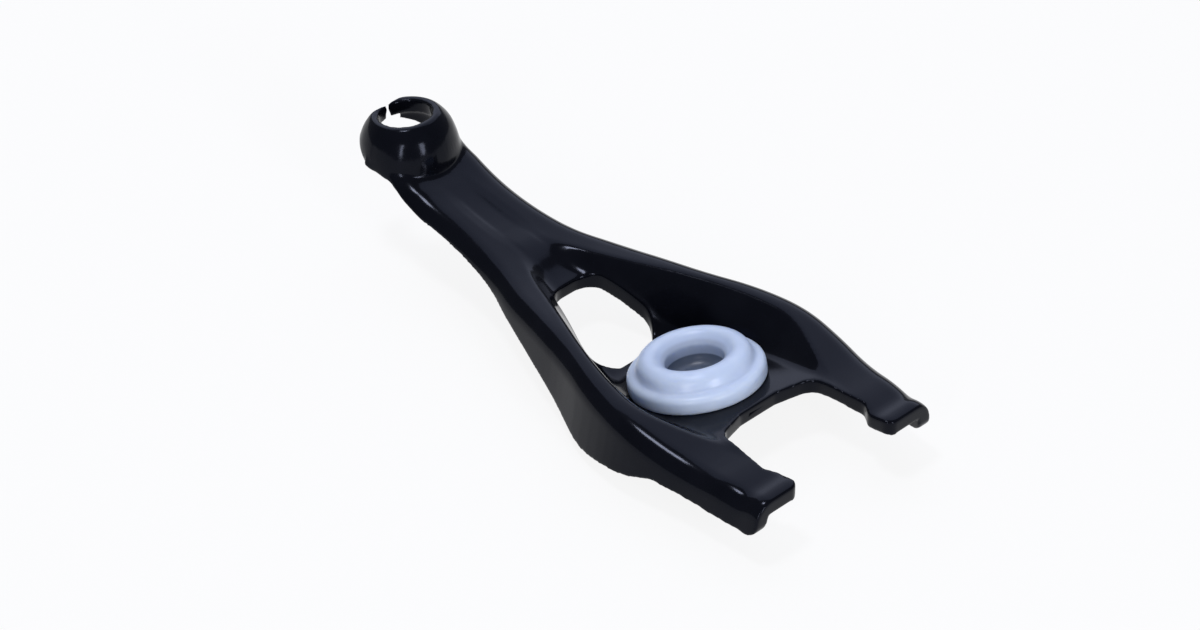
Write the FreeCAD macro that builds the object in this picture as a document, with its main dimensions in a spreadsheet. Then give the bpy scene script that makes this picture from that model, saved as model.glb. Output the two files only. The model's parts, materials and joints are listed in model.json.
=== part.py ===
import FreeCAD, Part
import Sketcher
import math
import os

# A clutch release fork pressed from one sheet of steel, and the nylon cup that
# snaps into its pocket. Millimetres. X runs from the eye to the prong tips and
# +Z is up. Both bodies are drawn about the centre of the cup's seat on the
# pocket floor, and then placed so that the centre of the ball is the origin.

V = FreeCAD.Vector
os.makedirs("parts", exist_ok=True)
doc = FreeCAD.newDocument("clutch_fork")
sheet = doc.addObject("Spreadsheet::Sheet", "Sizes")

SIZES = {
    "thickness": 3.5,            # sheet, everywhere
    "wall_flare": 0.19,          # sideways run of the walls per mm of depth
    "skirt_level": -16.0,        # walls before trimming
    "shoulder_radius": 4.6,      # top edge of the walls, outside
    "seat_pitch": 13.5,          # degrees, pocket floor rising to the prongs
    "rim_radius": 2.0,           # pocket rim, outside
    "floor_radius": 5.0,         # pocket floor to its sides
    "inner_radius": 0.4,         # the same edges inside the channel
    "floor_drop": 1.03,          # level change of the floor for a unit offset
    "corner_shift": 0.5,         # sideways shift of the pocket corners for the same
    "eye_x": -92.2,
    "eye_top": 22.0,
    "eye_lean": 8.0,             # degrees, ring leaning to the free end
    "eye_outer_radius": 11.4,
    "eye_hole_radius": 6.0,
    "eye_shoulder": 4.2,
    "punch_depth": 8.0,          # of the cuts made square to the eye and the seat
    "slit_waist": 0.35,          # half widths of the slit at the hole, and of its notch
    "slit_mouth": 1.25,
    "slit_waist_drop": 1.8,
    "notch_half": 4.6,
    "notch_radius": 10.0,
    "tip_round": 2.2,            # inner corner of each pad
    "window_base_x": -18.7,
    "window_base_half": 5.0,
    "window_side_x": -24.3,
    "window_side_half": 9.9,
    "window_side_round": 4.5,
    "window_end_x": -39.8,
    "window_end_half": 5.7,
    "window_end_round": 5.2,
    "gap_middle_x": 17.8,
    "gap_middle_half": 5.0,
    "gap_root_x": 20.2,
    "gap_root_half": 13.2,
    "gap_root_round": 4.0,
    "gap_waist_x": 34.0,
    "gap_waist_half": 15.0,
    "gap_waist_round": 2.0,
    "pad_x": 36.6,
    "pad_half": 13.3,
    "pad_round": 2.5,
    "margin": 20.0,              # run of the cutting outlines past the sheet
    # pivot cup, on the axis square to its seat
    "stem_radius": 5.2,
    "stem_clearance": 0.3,
    "bead_radius": 5.9,
    "bead_length": 0.7,
    "stem_end": -4.5,
    "flange_radius": 15.0,
    "flange_height": 3.9,
    "flange_base_round": 0.5,
    "flange_round": 1.3,
    "dome_radius": 12.7,
    "dome_taper": 0.5,
    "dome_root_round": 0.6,
    "crest_height": 7.5,
    "crest_round": 2.8,
    "crest_inner": 8.6,
    "mouth_round": 2.4,
    "socket_radius": 6.4,
    "socket_mouth": 5.2,
    "socket_floor": 0.8,
    "socket_corner": 2.4,
    "seat_clearance": 0.3,
    "underside_gap": 0.1,        # snap bead below the sheet
    "ball_height": 4.2,          # ball centre above the seat
}

# Sections of the pressing, from the eye to the tips.
STATIONS = [
    # x, half width and level at the top, half width of the rim, floor half width and level
    ("eye_end", (-93.0, 11.0, 18.2, 4.0, 2.0, 18.05)),
    ("eye_root", (-83.5, 10.8, 14.0, 4.1, 2.1, 13.85)),
    ("shank", (-74.0, 10.7, 10.6, 4.2, 2.2, 10.45)),
    ("neck", (-57.0, 11.4, 8.2, 4.6, 2.4, 8.05)),
    ("fork_root", (-47.5, 13.6, 7.4, 5.8, 2.8, 6.5)),
    ("funnel", (-42.0, 15.5, 7.3, 8.0, 4.0, 4.2)),
    ("notch", (-35.0, 17.4, 7.6, 10.5, 6.0, 2.8)),
    ("window_edge", (-28.0, 19.3, 8.0, 13.0, 8.2, -0.3)),
    ("window_front", (-20.5, 21.4, 8.25, 15.9, 10.1, -4.3)),
    ("seat_back", (-7.0, 26.0, 8.4, 20.4, 14.4, -1.68)),
    ("seat_side", (4.0, 28.2, 8.0, 22.3, 16.0, 0.96)),
    ("seat_front", (13.0, 28.2, 6.7, 20.0, 15.6, 3.12)),
    ("prong_root", (22.0, 27.1, 5.4, 16.6, 15.0, 5.2)),
    ("prong", (31.5, 26.1, 5.4, 15.0, 13.0, 5.25)),
    ("pad_valley", (36.6, 25.5, 5.05, 15.0, 13.0, 4.9)),
    ("pad_crest", (39.6, 25.2, 5.5, 15.0, 13.0, 5.35)),
    ("beyond", (45.0, 24.9, 4.4, 15.0, 13.0, 4.25)),
]
FORM = ("x", "half", "level", "rim", "floor", "low")

# Lower edge of the walls seen from the side.
TRIM = [
    # x and level of the corner, and its rounding
    ("trim_tip", (42.8, -2.35, 2.8)),
    ("trim_prong", (15.5, -1.05, 4.0)),
    ("trim_step", (9.0, -3.4, 14.0)),
    ("trim_belly", (-6.5, -6.1, 22.0)),
    ("trim_neck", (-47.0, 2.6, 60.0)),
    ("trim_shank", (-76.0, 7.6, 16.0)),
    ("trim_eye_root", (-86.0, 11.6, 10.0)),
    ("trim_eye_side", (-93.0, 13.0, 10.0)),
    ("trim_eye_end", (-110.0, 21.6, 0.5)),
]
EDGE = ("x", "level", "round")
for table, fields in ((STATIONS, FORM), (TRIM, EDGE)):
    for name, values in table:
        for field, value in zip(fields, values):
            SIZES[name + "_" + field] = value


class Size:
    """A number together with the spreadsheet expression that yields it."""

    def __init__(self, value, text):
        self.value, self.text = float(value), text

    @staticmethod
    def of(other):
        return other if isinstance(other, Size) else Size(other, "%g" % other)

    def join(self, other, value, sign):
        return Size(value, "(%s %s %s)" % (self.text, sign, other.text))

    def __add__(self, other):
        other = Size.of(other)
        return self.join(other, self.value + other.value, "+")

    def __sub__(self, other):
        other = Size.of(other)
        return self.join(other, self.value - other.value, "-")

    def __mul__(self, other):
        other = Size.of(other)
        return self.join(other, self.value * other.value, "*")

    def __neg__(self):
        return Size(-self.value, "(0 - %s)" % self.text)


def size(name):
    return Size(SIZES[name], "Sizes." + name)


for row, (name, value) in enumerate(SIZES.items(), 1):
    sheet.set("A%d" % row, name)
    sheet.set("B%d" % row, "%g" % value)
    sheet.setAlias("B%d" % row, name)
doc.recompute()

PLANES = {"XY": "XY_Plane", "XZ": "XZ_Plane", "YZ": "YZ_Plane"}


def plane(body, name):
    return [f for f in body.Origin.OriginFeatures if f.Role == PLANES[name]][0]


def add_sketch(body, name, side, lift=None, pitch=None):
    sketch = body.newObject("Sketcher::SketchObject", name)
    sketch.AttachmentSupport = [(plane(body, side), "")]
    sketch.MapMode = "FlatFace"
    if pitch is not None:
        axis = V(0, -1, 0)
        sketch.AttachmentOffset = FreeCAD.Placement(V(), FreeCAD.Rotation(axis, pitch.value))
        sketch.setExpression("AttachmentOffset.Rotation.Angle", pitch.text)
    if lift is not None:
        sketch.AttachmentOffset = FreeCAD.Placement(
            V(0, 0, lift.value), sketch.AttachmentOffset.Rotation)
        sketch.setExpression("AttachmentOffset.Base.z", lift.text)
    return sketch


def pin(sketch, where, x, y):
    """Tie one point of a sketch to an (x, y) pair of sizes."""
    for kind, q in (("DistanceX", x), ("DistanceY", y)):
        q = Size.of(q)
        index = sketch.addConstraint(Sketcher.Constraint(kind, -1, 1, where[0], where[1], q.value))
        sketch.setExpression("Constraints[%d]" % index, q.text)


def outline(sketch, corners):
    """A closed outline through corners (x, y) or (x, y, radius)."""
    pts = [V(Size.of(c[0]).value, Size.of(c[1]).value, 0) for c in corners]
    n = len(pts)
    cuts = []
    for i, c in enumerate(corners):
        if len(c) < 3:
            cuts.append((pts[i], pts[i], None))
            continue
        a = (pts[i - 1] - pts[i]).normalize()
        b = (pts[(i + 1) % n] - pts[i]).normalize()
        half = math.acos(max(-1, min(1, a.dot(b)))) / 2
        run = c[2].value / math.tan(half)
        centre = pts[i] + (a + b).normalize() * (c[2].value / math.sin(half))
        cuts.append((pts[i] + a * run, pts[i] + b * run, centre))
    lines = []
    for i in range(n):
        start, end = cuts[i][1], cuts[(i + 1) % n][0]
        lines.append(sketch.addGeometry(Part.LineSegment(start, end), False))
    for i, c in enumerate(corners):
        before, after = lines[i - 1], lines[i]
        if len(c) < 3:
            sketch.addConstraint(Sketcher.Constraint("Coincident", before, 2, after, 1))
            pin(sketch, (after, 1), c[0], c[1])
            continue
        p, q, centre = cuts[i]
        r = c[2].value
        a, b = [math.atan2(v.y - centre.y, v.x - centre.x) for v in (p, q)]
        first = 1 if (p - centre).cross(q - centre).z > 0 else 2
        if first == 2:
            a, b = b, a
        ring = Part.Circle(centre, V(0, 0, 1), r)
        arc = sketch.addGeometry(Part.ArcOfCircle(ring, a, b if b > a else b + 2 * math.pi), False)
        sketch.addConstraint(Sketcher.Constraint("Tangent", before, 2, arc, first))
        sketch.addConstraint(Sketcher.Constraint("Tangent", arc, 3 - first, after, 1))
        index = sketch.addConstraint(Sketcher.Constraint("Radius", arc, r))
        sketch.setExpression("Constraints[%d]" % index, c[2].text)
        corner = sketch.addGeometry(Part.Point(pts[i]), True)
        sketch.addConstraint(Sketcher.Constraint("PointOnObject", corner, 1, before))
        sketch.addConstraint(Sketcher.Constraint("PointOnObject", corner, 1, after))
        pin(sketch, (corner, 1), c[0], c[1])
    return sketch


def mirrored(half):
    """Corners of a symmetric outline from those on its +Y side."""
    other = [(c[0], -Size.of(c[1])) + tuple(c[2:]) for c in reversed(half)]
    return list(half) + other


def mirrored_across(half):
    """Corners from the +Y side followed by their mirror images."""
    return list(half) + [(-c[0],) + tuple(c[1:]) for c in reversed(half)]


def lofted(name, tag, stations, corners_at):
    """A smooth solid through upright sections at the stations."""
    sections = []
    for station, _ in stations:
        sketch = doc.addObject("Sketcher::SketchObject", "%s_%s" % (station, tag))
        x = size(station + "_x")
        sketch.Placement = FreeCAD.Placement(V(x.value, 0, 0), FreeCAD.Rotation(V(1, 1, 1), 120))
        sketch.setExpression("Placement.Base.x", x.text)
        outline(sketch, corners_at(station))
        sections.append(sketch)
    doc.recompute()
    loft = doc.addObject("Part::Loft", "%s_%s" % (name, tag))
    loft.Sections = sections
    loft.Solid = True
    loft.MaxDegree = 2
    doc.recompute()
    return loft


def slanted(length, run):
    """Sideways distance covered by a wall of the given run, for a normal offset."""
    return Size(length.value * math.hypot(1, run.value),
                "(%s * sqrt(1 + %s ^ 2))" % (length.text, run.text))


def pressing(tag, depth):
    """The pressed form, with its surface sunk by depth below the outside."""
    flare = size("wall_flare")
    sink = slanted(depth, flare)

    shift = depth * size("corner_shift")
    sharp = depth.value > 0
    shoulder = size("inner_radius") if sharp else size("shoulder_radius")
    rim = size("inner_radius") if sharp else size("rim_radius")

    def form(station):
        top = size(station + "_level") - depth
        half = size(station + "_half") + flare * depth - sink
        foot = size("skirt_level")
        base = half + flare * (top - foot)
        low = size(station + "_low") - depth * size("floor_drop")
        return [(base, foot)] + mirrored_across([
            (half, top, shoulder), (size(station + "_rim") + shift, top, rim),
            (size(station + "_floor") + shift, low, size("floor_radius") + depth)]) + [(-base, foot)]

    body = doc.addObject("PartDesign::Body", "form_" + tag)
    body.BaseFeature = lofted("skin", tag, STATIONS, form)
    doc.recompute()
    return body


def lean(sketch, side, x, z, angle):
    """Set a sketch at (x, z) on the middle plane, leaning to the free end."""
    turned = V(0, 0, 1) if side == "XZ" else V(0, -1, 0)
    base = V(x.value, z.value, 0) if side == "XZ" else V(x.value, 0, z.value)
    sketch.AttachmentOffset = FreeCAD.Placement(base, FreeCAD.Rotation(turned, angle.value))
    sketch.setExpression("AttachmentOffset.Base.x", x.text)
    sketch.setExpression("AttachmentOffset.Base." + ("y" if side == "XZ" else "z"), z.text)
    sketch.setExpression("AttachmentOffset.Rotation.Angle", angle.text)


def turned(body, name, sketch):
    """Turn a profile about its own vertical axis."""
    doc.recompute()
    turn = body.newObject("PartDesign::Revolution", name)
    turn.Profile = sketch
    turn.ReferenceAxis = (sketch, ["V_Axis"])
    doc.recompute()


ZERO = Size.of(0.0)
THICKNESS = size("thickness")


def eye(body, tag, depth):
    """The drawn cup at the free end."""
    sketch = add_sketch(body, "eye_profile_" + tag, "XZ")
    lean(sketch, "XZ", size("eye_x"), size("eye_top"), size("eye_lean"))
    r, low = size("eye_outer_radius") - depth, -size("margin")
    outline(sketch, [(ZERO, low), (r, low), (r, -depth, size("eye_shoulder") - depth), (ZERO, -depth)])
    turned(body, "eye_" + tag, sketch)


# The sheet is the outside form less the same form sunk by its thickness.
forms = []
for tag, depth in (("outer", ZERO), ("inner", THICKNESS)):
    forms.append(pressing(tag, depth))
    eye(forms[-1], tag, depth)
shell = doc.addObject("Part::Cut", "shell")
shell.Base, shell.Tool = forms
doc.recompute()


def cut(body, name, sketch, length=None, upward=False):
    """Pocket a sketch of the body: right through both ways, or to a length."""
    doc.recompute()
    pocket = body.newObject("PartDesign::Pocket", name)
    pocket.Profile = sketch
    if length is None:
        pocket.Type = "ThroughAll"
        pocket.Midplane = True
    else:
        pocket.Length = length.value
        pocket.setExpression("Length", length.text)
        pocket.Reversed = upward
    doc.recompute()


def drawn(body, name, side, corners, lift=None):
    return outline(add_sketch(body, name + "_outline", side, lift), corners)


def ring(name, x, z, angle, radius):
    """A circle on the middle plane, square to an axis that leans to the free end."""
    sketch = add_sketch(fork, name + "_outline", "XY")
    lean(sketch, "XY", x, z, angle)
    circle = sketch.addGeometry(Part.Circle(V(), V(0, 0, 1), radius.value), False)
    sketch.addConstraint(Sketcher.Constraint("Coincident", circle, 3, -1, 1))
    index = sketch.addConstraint(Sketcher.Constraint("Radius", circle, radius.value))
    sketch.setExpression("Constraints[%d]" % index, radius.text)
    return sketch


def corner(name, *fields):
    return tuple(size(name + "_" + field) for field in fields)


# What is trimmed off the walls: all below their edge, but for the pocket.
margin, skirt = size("margin"), size("skirt_level")
edge = [corner(name, *EDGE) for name, _ in TRIM]
under = skirt - margin
waste = doc.addObject("PartDesign::Body", "waste")
tip, above = edge[0][0], size("eye_top") + margin
slab = drawn(waste, "slab", "XZ", [(tip, above)] + edge + [
    (edge[-1][0], under), (tip + margin, under), (tip + margin, above)])
doc.recompute()
pad = waste.newObject("PartDesign::Pad", "slab")
pad.Profile = slab
pad.Midplane = True
width = (size("prong_root_half") + margin) * 2
pad.Length = width.value
pad.setExpression("Length", width.text)
doc.recompute()
kept = [(size(name + "_x"), (size(name + "_half") + size(name + "_floor")) * 0.5)
        for name, _ in STATIONS[4:12]]
cut(waste, "pocket_zone", drawn(waste, "pocket_zone", "XY", mirrored(kept[::-1])))
trimmed = doc.addObject("Part::Cut", "trimmed")
trimmed.Base, trimmed.Tool = shell, waste
doc.recompute()

fork = doc.addObject("PartDesign::Body", "fork")
fork.BaseFeature = trimmed
doc.recompute()
cut(fork, "window", drawn(fork, "window", "XY", mirrored([
    corner("window_base", "x", "half"), corner("window_side", "x", "half", "round"),
    corner("window_end", "x", "half", "round")])))

side = size("prong_root_half") + margin
cut(fork, "gap", drawn(fork, "gap", "XY", mirrored([
    (tip + margin, side), (tip, side), (tip, size("pad_half"), size("tip_round")),
    corner("pad", "x", "half", "round"),
    corner("gap_waist", "x", "half", "round"), corner("gap_root", "x", "half", "round"),
    corner("gap_middle", "x", "half")])))

eye_at = size("eye_x"), size("eye_top"), size("eye_lean")
cut(fork, "eye_hole", ring("eye_hole", *eye_at, size("eye_hole_radius")), size("punch_depth"))

# Where the rolled edges of the eye meet, an hourglass slit stays open.
mouth, waist, rim = size("slit_mouth"), size("slit_waist"), size("eye_top")
narrow = rim - size("slit_waist_drop")
flank = [(mouth, skirt), (mouth, narrow - size("slit_waist_drop")), (waist, narrow), (mouth, rim + 1)]
cut(fork, "slit", drawn(fork, "slit", "YZ", mirrored_across(flank), size("eye_x")), size("margin"))

# Outside the hole the slit opens into a notch, as the rim was stretched there.
notch = add_sketch(fork, "notch_outline", "XY")
lean(notch, "XY", *eye_at)
near, far, half = -size("eye_hole_radius"), -size("notch_radius"), size("notch_half")
reach = far - margin
outline(notch, mirrored([(near, waist), (far, half), (reach, half)]))
cut(fork, "notch", notch, size("margin"))

cup_at = ZERO, ZERO, size("seat_pitch")
seat_radius = size("flange_radius") + size("seat_clearance")
cut(fork, "seat", ring("seat", *cup_at, seat_radius), size("punch_depth"), True)
cut(fork, "stem_hole", ring("stem_hole", *cup_at, size("stem_radius") + size("stem_clearance")))

# The cup stands on its seat, and its stem snaps through the sheet.
cup = doc.addObject("PartDesign::Body", "pivot_cup")
profile = add_sketch(cup, "cup_profile", "XZ")
lean(profile, "XZ", *cup_at)
stem, bead, below = size("stem_radius"), size("bead_radius"), -THICKNESS - size("underside_gap")
flange, rise = size("flange_radius"), size("flange_height")
dome, crest = size("dome_radius"), size("crest_height")
socket, floor = size("socket_radius"), size("socket_floor")
outline(profile, [
    (ZERO, size("stem_end")), (stem, size("stem_end")), (bead, below - size("bead_length")),
    (bead, below), (stem, below), (stem, ZERO), (flange, ZERO, size("flange_base_round")),
    (flange, rise, size("flange_round")), (dome, rise, size("dome_root_round")),
    (dome - size("dome_taper"), crest, size("crest_round")),
    (size("crest_inner"), crest, size("mouth_round")), (socket, size("socket_mouth")),
    (socket, floor, size("socket_corner")), (ZERO, floor)])
turned(cup, "cup_turned", profile)

# Both bodies move together, so that the ball's centre is the origin.
ball, pitch = size("ball_height"), size("seat_pitch")
for body in (fork, cup):
    turn = math.radians(pitch.value)
    body.Placement.Base = V(ball.value * math.sin(turn), 0, -ball.value * math.cos(turn))
    body.setExpression("Placement.Base.x", "%s * sin(%s)" % (ball.text, pitch.text))
    body.setExpression("Placement.Base.z", "0 - %s * cos(%s)" % (ball.text, pitch.text))
doc.recompute()

for item in doc.Objects:
    if "Invalid" in item.State or "Error" in item.State:
        raise RuntimeError("%s was not built: %s" % (item.Label, item.State))
for body in (fork, cup):
    if body.Shape.isNull() or not body.Shape.isValid() or len(body.Shape.Solids) != 1:
        raise RuntimeError("%s is not one sound solid" % body.Label)
for body in (fork, cup):
    body.Shape.exportStep("parts/%s.step" % body.Label)
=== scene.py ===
import bpy
import json
import math
from mathutils import Matrix, Vector


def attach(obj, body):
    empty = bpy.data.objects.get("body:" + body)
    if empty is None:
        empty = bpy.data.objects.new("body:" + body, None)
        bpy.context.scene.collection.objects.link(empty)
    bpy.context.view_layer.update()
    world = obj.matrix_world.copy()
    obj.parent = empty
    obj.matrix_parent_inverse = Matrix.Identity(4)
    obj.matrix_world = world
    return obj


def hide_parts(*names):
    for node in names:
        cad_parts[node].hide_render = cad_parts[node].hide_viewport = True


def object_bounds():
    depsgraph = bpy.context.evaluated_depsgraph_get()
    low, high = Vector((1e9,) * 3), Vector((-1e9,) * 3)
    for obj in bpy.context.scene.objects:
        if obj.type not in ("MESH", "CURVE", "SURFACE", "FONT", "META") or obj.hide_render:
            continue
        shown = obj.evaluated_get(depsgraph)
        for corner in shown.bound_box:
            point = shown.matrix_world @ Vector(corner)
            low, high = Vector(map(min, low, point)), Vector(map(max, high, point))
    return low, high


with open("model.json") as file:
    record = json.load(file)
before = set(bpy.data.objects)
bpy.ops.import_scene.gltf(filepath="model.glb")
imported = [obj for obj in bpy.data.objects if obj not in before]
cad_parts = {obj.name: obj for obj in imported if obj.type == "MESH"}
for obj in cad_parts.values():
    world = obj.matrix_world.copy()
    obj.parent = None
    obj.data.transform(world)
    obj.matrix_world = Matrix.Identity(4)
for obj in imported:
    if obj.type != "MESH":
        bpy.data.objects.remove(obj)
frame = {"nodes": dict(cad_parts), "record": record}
cad_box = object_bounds()
MM = 0.001
mounts = {each["name"]: each for each in frame["record"]["mounts"]}
CUP_AXIS = Vector(mounts["pivot_socket"]["axis"]).normalized()
EYE_AXIS = Vector(mounts["eye"]["axis"]).normalized()
EYE_MIDDLE = Vector(mounts["eye"]["pos_m"])
EYE_REACH = 14 * MM
EYE_TOP = max((vertex.co - EYE_MIDDLE).dot(EYE_AXIS)
              for vertex in frame["nodes"]["fork"].data.vertices
              if (vertex.co - EYE_MIDDLE).length < EYE_REACH)

# The eye's wall, in millimetres. The solid's wall leaves the flat rim in a round shoulder.
SHOULDER_START = 7.2
SHOULDER_ROUND = 4.2
# The bulb swells from its rim to the depth where it is fullest, then draws in again.
BULB_RIM = 7.4
BULB_SWELL = 3.9
BULB_FULL_DEPTH = 8.5
BULB_CURVE = 0.75
BULB_TUCK = 0.06

# Pairs of lengths, in millimetres, over which a change by the eye comes in or fades out.
BULB_STARTS, BULB_ENDS, BULB_FADES = (6.4, 7.6), (11.6, 14.5), (10.5, 14)
CORNER_STARTS, CORNER_ENDS = (9.5, 11), (13, 15)
HEM_STARTS, HEM_ENDS = (8, 10), (14, 16)
SLIT_FADES, SLIT_ENDS = (8, 14), (13, 15)
CORNER_TOP = 1 * MM
HEM_TOP = 8 * MM
HEM_FRONT = 6 * MM

# The slit, in radians round the eye's axis from its middle.
SLIT_CLOSING = 0.12
SLIT_LIP = 0.12
SLIT_SPREAD = 1.1
SLIT_SMOOTHED = (0.35, 0.8)
SLIT_WALL = 13 * MM
SLIT_BOTTOM = 14 * MM
MOST_OF_ANGLE = 0.7

# The line where the cup's dome meets its flange, from the ball's centre.
GROOVE_RADIUS = 12.7 * MM
GROOVE_DROP = 0.3 * MM
GROOVE_FADES = (1.0, 3.0)

FLOOR_GAP = 0.0002
FLOOR_GLOW = 0.88


# ---------------------------------------------------------------- materials

NOISE_LOW, NOISE_HIGH = 0.3, 0.7
MIX_BASE, MIX_OVER, MIX_RESULT = 6, 7, 2


def fresh(name):
    """A new node material, its tree and its shader."""
    material = bpy.data.materials.new(name)
    material.use_nodes = True
    return material, material.node_tree, material.node_tree.nodes["Principled BSDF"]


def spots(tree, scale, detail=2.0):
    """Cloudy noise on the piece itself, at a scale per metre."""
    coords = tree.nodes.new("ShaderNodeTexCoord")
    noise = tree.nodes.new("ShaderNodeTexNoise")
    noise.inputs["Scale"].default_value = scale
    noise.inputs["Detail"].default_value = detail
    noise.inputs["Roughness"].default_value = 0.5
    tree.links.new(coords.outputs["Object"], noise.inputs["Vector"])
    return noise.outputs["Fac"]


def ranged(tree, value, low, high, at_low, at_high, curve="SMOOTHSTEP"):
    """A number that runs from one to another as a value goes from low to high."""
    node = tree.nodes.new("ShaderNodeMapRange")
    node.interpolation_type = curve
    node.inputs["From Min"].default_value = low
    node.inputs["From Max"].default_value = high
    node.inputs["To Min"].default_value = at_low
    node.inputs["To Max"].default_value = at_high
    tree.links.new(value, node.inputs["Value"])
    return node.outputs["Result"]


def between(tree, value, low, high):
    """A number that runs evenly from low to high with a value of noise."""
    return ranged(tree, value, NOISE_LOW, NOISE_HIGH, low, high, "LINEAR")


def tinted(tree, value, dark, light):
    """A colour that runs from dark to light with a value of noise."""
    ramp = tree.nodes.new("ShaderNodeValToRGB")
    ramp.color_ramp.elements[0].position = NOISE_LOW
    ramp.color_ramp.elements[0].color = (*dark, 1)
    ramp.color_ramp.elements[1].position = NOISE_HIGH
    ramp.color_ramp.elements[1].color = (*light, 1)
    tree.links.new(value, ramp.inputs["Fac"])
    return ramp.outputs["Color"]


def relief(tree, shader, value, strength, distance=0.00005):
    """Fine unevenness of the surface."""
    bump = tree.nodes.new("ShaderNodeBump")
    bump.inputs["Strength"].default_value = strength
    bump.inputs["Distance"].default_value = distance
    tree.links.new(value, bump.inputs["Height"])
    tree.links.new(bump.outputs["Normal"], shader.inputs["Normal"])


def combined(tree, operation, first, second):
    """Two values put together; the second may be a plain number."""
    node = tree.nodes.new("ShaderNodeMath")
    node.operation = operation
    tree.links.new(first, node.inputs[0])
    if isinstance(second, float):
        node.inputs[1].default_value = second
    else:
        tree.links.new(second, node.inputs[1])
    return node.outputs[0]


def mixed(tree, share, base, colour):
    """A socket's colour mixed with another by a share."""
    mix = tree.nodes.new("ShaderNodeMix")
    mix.data_type = "RGBA"
    tree.links.new(share, mix.inputs["Factor"])
    tree.links.new(base, mix.inputs[MIX_BASE])
    mix.inputs[MIX_OVER].default_value = (*colour, 1)
    return mix.outputs[MIX_RESULT]


def from_ball(tree, near, far, at_near, at_far):
    """A number that runs between two distances from the ball's centre, which is the origin."""
    coords = tree.nodes.new("ShaderNodeTexCoord")
    length = tree.nodes.new("ShaderNodeVectorMath")
    length.operation = "LENGTH"
    tree.links.new(coords.outputs["Object"], length.inputs[0])
    return ranged(tree, length.outputs["Value"], near, far, at_near, at_far)


def above_ball(tree, low, high, at_low, at_high):
    """A number that runs between two heights along the socket's axis, from the ball's centre."""
    coords = tree.nodes.new("ShaderNodeTexCoord")
    rise = tree.nodes.new("ShaderNodeVectorMath")
    rise.operation = "DOT_PRODUCT"
    rise.inputs[1].default_value = CUP_AXIS
    tree.links.new(coords.outputs["Object"], rise.inputs[0])
    return ranged(tree, rise.outputs["Value"], low, high, at_low, at_high)


def black_coating():
    """Dipped black paint on pressed steel: glossy, a little wavy, faintly blue."""
    material, tree, shader = fresh("black_coating")
    tint = tinted(tree, spots(tree, 140, 3.0), (0.0022, 0.0025, 0.0042), (0.0034, 0.0038, 0.0060))
    tree.links.new(tint, shader.inputs["Base Color"])
    tree.links.new(between(tree, spots(tree, 420, 3.0), 0.12, 0.16), shader.inputs["Roughness"])
    shader.inputs["Specular IOR Level"].default_value = 0.12
    shader.inputs["Specular Tint"].default_value = (0.74, 0.80, 1.0, 1)
    relief(tree, shader, spots(tree, 500), strength=0.05)
    return material


def milky_nylon_painted_socket_shade():
    """Unfilled nylon: bluish white and waxy, with painted shade in the socket: greyer inside it, and
    slate deeper down towards its floor.
    """
    material, tree, shader = fresh("milky_nylon_painted_socket_shade")
    nylon = tinted(tree, spots(tree, 220, 3.0), (0.53, 0.62, 0.78), (0.58, 0.67, 0.83))
    # Painted shade: within the socket, near the ball, the colour is mixed part way to grey.
    socket_shade = from_ball(tree, 6.9 * MM, 7.8 * MM, 1.0, 0.0)
    nylon = mixed(tree, combined(tree, "MULTIPLY", socket_shade, 0.45), nylon, (0.30, 0.35, 0.45))
    # Painted shade: lower in the socket, towards its floor, the colour is mixed further to slate.
    low = above_ball(tree, -1.5 * MM, -1.1 * MM, 1.0, 0.0)
    nylon = mixed(tree, combined(tree, "MULTIPLY", socket_shade, low), nylon, (0.12, 0.15, 0.21))
    tree.links.new(nylon, shader.inputs["Base Color"])
    tree.links.new(between(tree, spots(tree, 500), 0.30, 0.40), shader.inputs["Roughness"])
    shader.inputs["Subsurface Weight"].default_value = 0.6
    shader.inputs["Subsurface Radius"].default_value = (1.0, 1.1, 1.3)
    shader.inputs["Subsurface Scale"].default_value = 0.003
    relief(tree, shader, spots(tree, 1500), strength=0.08)
    return material


# ---------------------------------------------------------------- shaping

WELD = 0.000002


def applied(piece, kind, **values):
    """Add a modifier to a piece, set it and apply it."""
    modifier = piece.modifiers.new(kind.lower(), kind)
    for key, value in values.items():
        setattr(modifier, key, value)
    bpy.context.view_layer.objects.active = piece
    bpy.ops.object.modifier_apply(modifier=modifier.name)


def copied(node, name):
    """A copy of a node's mesh as one closed skin."""
    for each in bpy.context.selected_objects:
        each.select_set(False)
    source = frame["nodes"][node]
    piece = source.copy()
    piece.data = source.data.copy()
    piece.name = piece.data.name = name
    piece.parent = None
    bpy.context.scene.collection.objects.link(piece)
    piece.hide_render = piece.hide_viewport = False
    bpy.context.view_layer.objects.active = piece
    piece.select_set(True)
    bpy.ops.object.mode_set(mode="EDIT")
    bpy.ops.mesh.select_all(action="SELECT")
    bpy.ops.mesh.remove_doubles(threshold=WELD)
    bpy.ops.object.mode_set(mode="OBJECT")
    return piece


def softened(piece, fine, rounds, most):
    """Round the edges as coating does: fine even faces, smoothed, then fewer of them."""
    applied(piece, "REMESH", mode="VOXEL", voxel_size=fine)
    applied(piece, "SMOOTH", factor=0.5, iterations=rounds)
    applied(piece, "DECIMATE", ratio=most / (2 * len(piece.data.polygons)))
    applied(piece, "SMOOTH", factor=0.5, iterations=2)


def smoothed_near(piece, weight_at, rounds):
    """Smooth only where a function of place gives weight."""
    group = piece.vertex_groups.new(name="near")
    for vertex in piece.data.vertices:
        weight = weight_at(vertex.co)
        if weight > 0:
            group.add([vertex.index], weight, "REPLACE")
    applied(piece, "SMOOTH", factor=0.5, iterations=rounds, vertex_group="near")
    piece.vertex_groups.clear()


def step(low, high, value):
    """0 below low, 1 above high, and a soft rise between."""
    share = min(max((value - low) / (high - low), 0), 1)
    return share * share * (3 - 2 * share)


def rising(value, ends):
    """0 to 1 as a length passes a pair of millimetres."""
    return step(ends[0] * MM, ends[1] * MM, value)


def falling(value, ends):
    """1 to 0 as a length passes a pair of millimetres."""
    return 1 - rising(value, ends)


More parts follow.
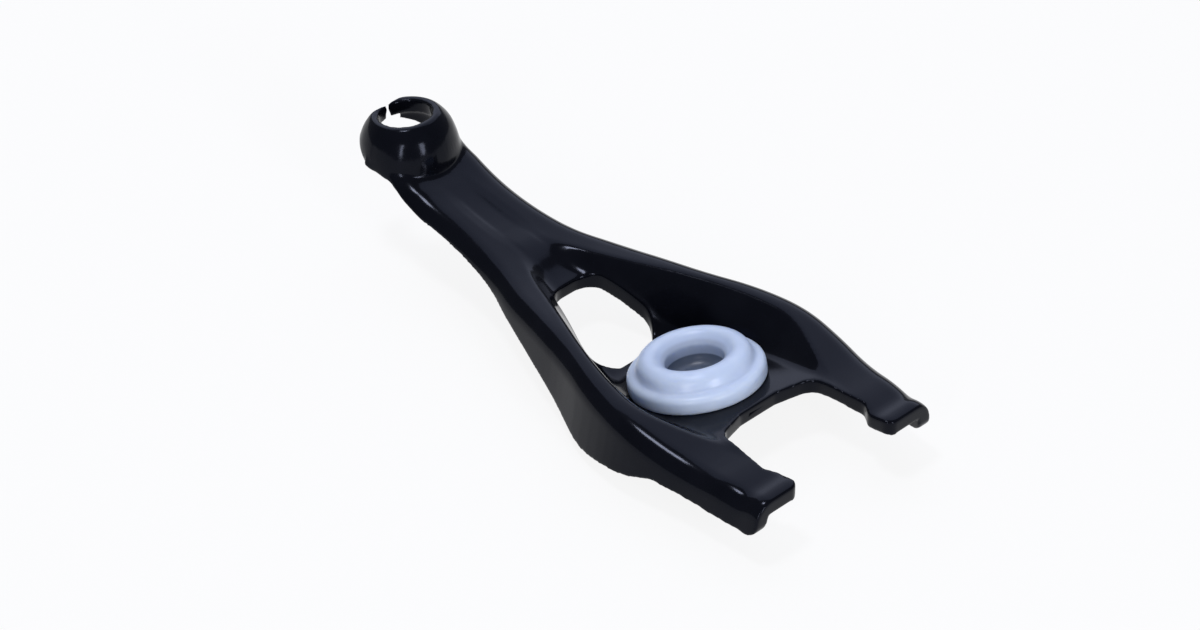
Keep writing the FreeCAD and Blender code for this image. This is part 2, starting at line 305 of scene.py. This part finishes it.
def finished(piece, node, material):
    """Shade a piece, put it in its node's place and give it its material."""
    bpy.context.view_layer.objects.active = piece
    bpy.ops.object.shade_smooth()
    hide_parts(node)
    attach(piece, "root")
    piece.data.materials.clear()
    piece.data.materials.append(material)


# ---------------------------------------------------------------- the eye

def about_eye(place):
    """Depth below the eye's top face, distance from its axis, and the way out from it."""
    arm = place - EYE_MIDDLE
    rise = arm.dot(EYE_AXIS)
    out = arm - rise * EYE_AXIS
    return EYE_TOP - rise, out.length, out


def from_slit(out):
    """The angle round the eye's axis from the slit's middle."""
    return math.atan2(out.y, -out.x)


def bulb(depth):
    """The eye's outer radius at a depth: a bulb drawn over a spherical die."""
    share = min(max(depth / (BULB_FULL_DEPTH * MM), 0), 1)
    tuck = BULB_TUCK * max(depth / MM - BULB_FULL_DEPTH, 0) ** 2
    return (BULB_RIM + BULB_SWELL * math.sin(math.pi / 2 * share ** BULB_CURVE) - tuck) * MM


def turned_wall(depth):
    """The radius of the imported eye's wall at a depth."""
    below = max(SHOULDER_ROUND * MM - max(depth, 0), 0)
    return SHOULDER_START * MM + math.sqrt((SHOULDER_ROUND * MM) ** 2 - below ** 2)


def closed_slit(place):
    """A place by the slit turned towards the slit's middle, to undo what the rounding wore off."""
    depth, radius, out = about_eye(place)
    angle = from_slit(out)
    if radius > SLIT_WALL or depth > SLIT_BOTTOM or abs(angle) > SLIT_SPREAD:
        return place
    turn = SLIT_CLOSING * (1 - step(SLIT_LIP, SLIT_SPREAD, abs(angle))) * falling(depth, SLIT_FADES)
    turn = min(turn, MOST_OF_ANGLE * abs(angle)) * math.copysign(1, angle)
    return place - out + Matrix.Rotation(turn, 3, EYE_AXIS) @ out


def corner(place):
    """The concave corner where the shank runs into the eye's wall."""
    depth, radius, out = about_eye(place)
    if depth < CORNER_TOP or out.x < 0:
        return 0
    return rising(radius, CORNER_STARTS) * falling(radius, CORNER_ENDS)


def hem(place):
    """The lower end of the eye's wall, away from the shank."""
    depth, radius, out = about_eye(place)
    if depth < HEM_TOP or out.x > HEM_FRONT:
        return 0
    return rising(depth, HEM_STARTS) * falling(radius, HEM_ENDS)


def slit(place):
    """The slit's edges."""
    depth, radius, out = about_eye(place)
    return (1 - step(*SLIT_SMOOTHED, abs(from_slit(out)))) * falling(radius, SLIT_ENDS)


def shape_eye(piece):
    """Close the slit, draw the eye's wall into a bulb, and fill the corner to the shank."""
    for vertex in piece.data.vertices:
        vertex.co = closed_slit(vertex.co)
        depth, radius, out = about_eye(vertex.co)
        share = rising(radius, BULB_STARTS) * falling(radius, BULB_ENDS)
        share *= falling(depth, BULB_FADES)
        if share > 0:
            ratio = bulb(depth) / turned_wall(depth)
            vertex.co += out * (ratio - 1) * share
    smoothed_near(piece, corner, rounds=60)
    smoothed_near(piece, hem, rounds=30)
    smoothed_near(piece, slit, rounds=6)


# ---------------------------------------------------------------- the pieces

def groove(place):
    """Near the line where the dome meets the flange."""
    rise = place.dot(CUP_AXIS)
    radius = (place - rise * CUP_AXIS).length
    return falling(math.hypot(radius - GROOVE_RADIUS, rise + GROOVE_DROP), GROOVE_FADES)


fork = copied("fork", "pressed_fork")
softened(fork, fine=0.25 * MM, rounds=24, most=180000)
shape_eye(fork)
finished(fork, "fork", black_coating())

cup = copied("pivot_cup", "nylon_cup")
softened(cup, fine=0.2 * MM, rounds=24, most=70000)
smoothed_near(cup, groove, rounds=60)
finished(cup, "pivot_cup", milky_nylon_painted_socket_shade())


# ---------------------------------------------------------------- the studio

def pale_floor():
    """A plain near-white floor under the part that keeps its shadow."""
    level = cad_box[0][2] - FLOOR_GAP
    bpy.ops.mesh.primitive_plane_add(size=8, location=(0, 0, level))
    floor = bpy.context.object
    floor.name = "floor"
    material, tree, shader = fresh("pale_floor")
    shader.inputs["Base Color"].default_value = (0.86, 0.86, 0.87, 1)
    shader.inputs["Roughness"].default_value = 0.7
    shader.inputs["Specular IOR Level"].default_value = 0.1
    glow = tree.nodes.new("ShaderNodeEmission")
    glow.inputs["Color"].default_value = (1, 1, 1, 1)
    path = tree.nodes.new("ShaderNodeLightPath")
    seen = path.outputs["Is Camera Ray"]
    for ray in ("Is Glossy Ray", "Is Transmission Ray"):
        seen = combined(tree, "MAXIMUM", seen, path.outputs[ray])
    share = combined(tree, "MULTIPLY", seen, FLOOR_GLOW)
    mix = tree.nodes.new("ShaderNodeMixShader")
    tree.links.new(share, mix.inputs["Fac"])
    tree.links.new(shader.outputs["BSDF"], mix.inputs[1])
    tree.links.new(glow.outputs["Emission"], mix.inputs[2])
    output = tree.nodes["Material Output"]
    tree.links.new(mix.outputs["Shader"], output.inputs["Surface"])
    floor.data.materials.append(material)


def softbox(name, azimuth, elevation, distance, width, height, power, tint):
    """A rectangular lamp that faces the part from an azimuth and an elevation."""
    a, e = math.radians(azimuth), math.radians(elevation)
    way = Vector((math.sin(a) * math.cos(e), -math.cos(a) * math.cos(e), math.sin(e)))
    lamp = bpy.data.lights.new(name, "AREA")
    lamp.shape = "RECTANGLE"
    lamp.size, lamp.size_y = width, height
    lamp.energy = power
    lamp.color = tint
    holder = bpy.data.objects.new(name, lamp)
    holder.location = way * distance
    holder.rotation_euler = way.to_track_quat("Z", "Y").to_euler()
    holder.visible_camera = False
    bpy.context.scene.collection.objects.link(holder)


def studio():
    """A dim cool world, two narrow boxes in front, one above and a large panel behind."""
    world = bpy.data.worlds.new("studio")
    world.use_nodes = True
    back = world.node_tree.nodes["Background"]
    back.inputs["Color"].default_value = (0.84, 0.88, 1.0, 1)
    back.inputs["Strength"].default_value = 0.25
    bpy.context.scene.world = world
    cool, slate = (0.92, 0.93, 1.0), (0.72, 0.78, 1.0)
    softbox("front_left_box", azimuth=26, elevation=19, distance=1.1,
            width=0.11, height=0.60, power=3.4, tint=cool)
    softbox("front_right_box", azimuth=80, elevation=19, distance=1.1,
            width=0.19, height=0.60, power=5.2, tint=cool)
    softbox("top_box", azimuth=300, elevation=76, distance=1.2,
            width=0.20, height=0.20, power=4.5, tint=cool)
    softbox("back_panel", azimuth=225, elevation=40, distance=1.4,
            width=1.6, height=1.4, power=10.5, tint=slate)


def camera():
    """The part seen from above its right front."""
    right = Vector((0.6909, 0.7230, 0))
    up = Vector((-0.4451, 0.4254, 0.7880))
    place = Vector((0.49328, -0.49910, 0.56092))
    back = right.cross(up).normalized()
    lens = bpy.data.cameras.new("camera")
    lens.sensor_width = 36
    lens.lens = 127.8
    lens.clip_start = 0.05
    holder = bpy.data.objects.new("camera", lens)
    turn = Matrix((right, up, back)).transposed().to_4x4()
    holder.matrix_world = Matrix.Translation(place) @ turn
    bpy.context.scene.collection.objects.link(holder)
    bpy.context.scene.camera = holder


pale_floor()
studio()
camera()
bpy.context.scene.view_settings.view_transform = "Standard"
